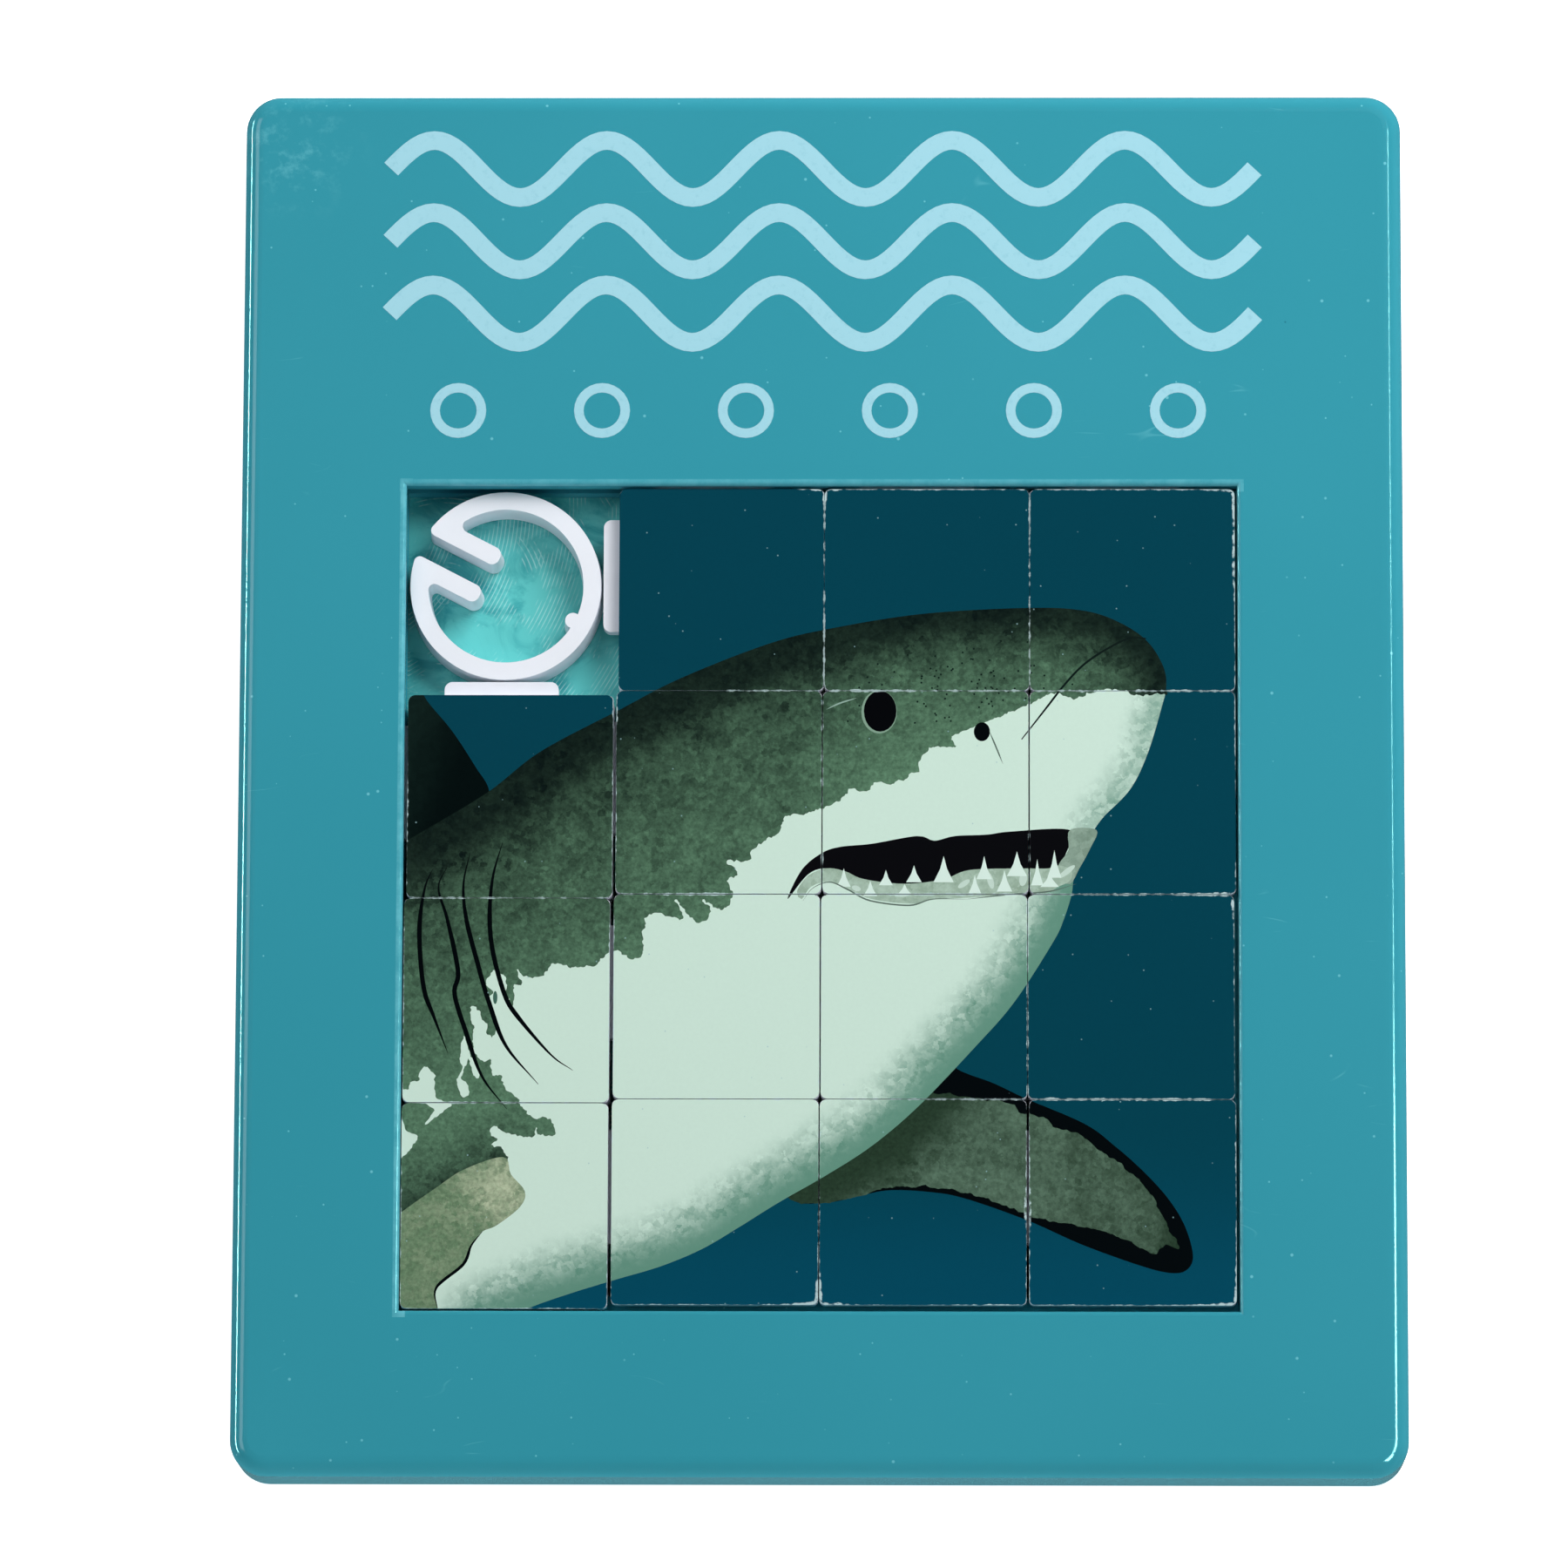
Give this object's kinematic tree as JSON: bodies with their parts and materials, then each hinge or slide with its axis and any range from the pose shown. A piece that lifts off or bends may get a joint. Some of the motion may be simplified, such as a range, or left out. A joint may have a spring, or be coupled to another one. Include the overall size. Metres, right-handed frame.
{
  "type": "sliding tile puzzle",
  "caption": "Pocket sliding tile puzzle: flat moulded case, square window of fifteen interlocking picture tiles, and a split spring ring in the empty cell.",
  "frame": {"origin": "centre of the back face, which the puzzle lies on", "axes": "+X to the right of the picture, +Y up the long side towards the printed band, +Z out through the picture"},
  "size_m": [0.075, 0.09, 0.0064],
  "materials": {
    "case_plastic": "glossy teal injection-moulded polystyrene",
    "floor_plastic": "glossy teal injection-moulded polystyrene, scuffed where tiles slide",
    "tile_plastic": "semi-gloss white injection-moulded polystyrene",
    "picture_film": "printed picture film with a satin surface",
    "ring_plastic": "satin white moulded plastic"
  },
  "bodies": {
    "case": {"front_frame": "case_plastic", "back_plate": "floor_plastic"},
    "ring": {"spring_ring": "ring_plastic"},
    "tile_r1c2": {"tile_r1c2": "tile_plastic", "picture_r1c2": "picture_film"},
    "tile_r1c3": {"tile_r1c3": "tile_plastic", "picture_r1c3": "picture_film"},
    "tile_r1c4": {"tile_r1c4": "tile_plastic", "picture_r1c4": "picture_film"},
    "tile_r2c1": {"tile_r2c1": "tile_plastic", "picture_r2c1": "picture_film"},
    "tile_r2c2": {"tile_r2c2": "tile_plastic", "picture_r2c2": "picture_film"},
    "tile_r2c3": {"tile_r2c3": "tile_plastic", "picture_r2c3": "picture_film"},
    "tile_r2c4": {"tile_r2c4": "tile_plastic", "picture_r2c4": "picture_film"},
    "tile_r3c1": {"tile_r3c1": "tile_plastic", "picture_r3c1": "picture_film"},
    "tile_r3c2": {"tile_r3c2": "tile_plastic", "picture_r3c2": "picture_film"},
    "tile_r3c3": {"tile_r3c3": "tile_plastic", "picture_r3c3": "picture_film"},
    "tile_r3c4": {"tile_r3c4": "tile_plastic", "picture_r3c4": "picture_film"},
    "tile_r4c1": {"tile_r4c1": "tile_plastic", "picture_r4c1": "picture_film"},
    "tile_r4c2": {"tile_r4c2": "tile_plastic", "picture_r4c2": "picture_film"},
    "tile_r4c3": {"tile_r4c3": "tile_plastic", "picture_r4c3": "picture_film"},
    "tile_r4c4": {"tile_r4c4": "tile_plastic", "picture_r4c4": "picture_film"}
  },
  "joints": [
    {"name": "tile_r1c2_slide", "type": "slide", "parent": "case", "child": "tile_r1c2", "axis": [-1, 0, 0], "range_m": [0, 0.01335]},
    {"name": "tile_r1c3_slide", "type": "slide", "parent": "case", "child": "tile_r1c3", "axis": [-1, 0, 0], "range_m": [0, 0.01335]},
    {"name": "tile_r1c4_slide", "type": "slide", "parent": "case", "child": "tile_r1c4", "axis": [-1, 0, 0], "range_m": [0, 0.01335]},
    {"name": "tile_r2c1_slide", "type": "slide", "parent": "case", "child": "tile_r2c1", "axis": [0, -1, 0], "range_m": [-0.01335, 0]},
    {"name": "tile_r3c1_slide", "type": "slide", "parent": "case", "child": "tile_r3c1", "axis": [0, -1, 0], "range_m": [-0.01335, 0]},
    {"name": "tile_r4c1_slide", "type": "slide", "parent": "case", "child": "tile_r4c1", "axis": [0, -1, 0], "range_m": [-0.01335, 0]},
    {"name": "tile_r2c2_play", "type": "slide", "parent": "case", "child": "tile_r2c2", "axis": [1, 0, 0], "range_m": [-0.0002, 0.00007]},
    {"name": "tile_r2c3_play", "type": "slide", "parent": "case", "child": "tile_r2c3", "axis": [1, 0, 0], "range_m": [-0.00007, 0.00008]},
    {"name": "tile_r2c4_play", "type": "slide", "parent": "case", "child": "tile_r2c4", "axis": [1, 0, 0], "range_m": [-0.00008, 0.00014]},
    {"name": "tile_r3c2_play", "type": "slide", "parent": "case", "child": "tile_r3c2", "axis": [1, 0, 0], "range_m": [-0.00024, 0.00008]},
    {"name": "tile_r3c3_play", "type": "slide", "parent": "case", "child": "tile_r3c3", "axis": [1, 0, 0], "range_m": [-0.00008, 0.00004]},
    {"name": "tile_r3c4_play", "type": "slide", "parent": "case", "child": "tile_r3c4", "axis": [1, 0, 0], "range_m": [-0.00004, 0.00026]},
    {"name": "tile_r4c2_play", "type": "slide", "parent": "case", "child": "tile_r4c2", "axis": [1, 0, 0], "range_m": [-0.00023, 0.00007]},
    {"name": "tile_r4c3_play", "type": "slide", "parent": "case", "child": "tile_r4c3", "axis": [1, 0, 0], "range_m": [-0.00007, 0.00016]},
    {"name": "tile_r4c4_play", "type": "slide", "parent": "case", "child": "tile_r4c4", "axis": [1, 0, 0], "range_m": [-0.00016, 0.00019]},
    {"name": "ring_lift", "type": "slide", "parent": "case", "child": "ring", "axis": [0, 0, 1], "range_m": [0, 0.025], "deforming": ["spring_ring"]}
  ],
  "couplings": [
    {"joint": "tile_r1c3_slide", "follows": "tile_r1c2_slide", "ratio": 1},
    {"joint": "tile_r1c4_slide", "follows": "tile_r1c2_slide", "ratio": 1},
    {"joint": "tile_r3c1_slide", "follows": "tile_r2c1_slide", "ratio": 1},
    {"joint": "tile_r4c1_slide", "follows": "tile_r2c1_slide", "ratio": 1}
  ]
}
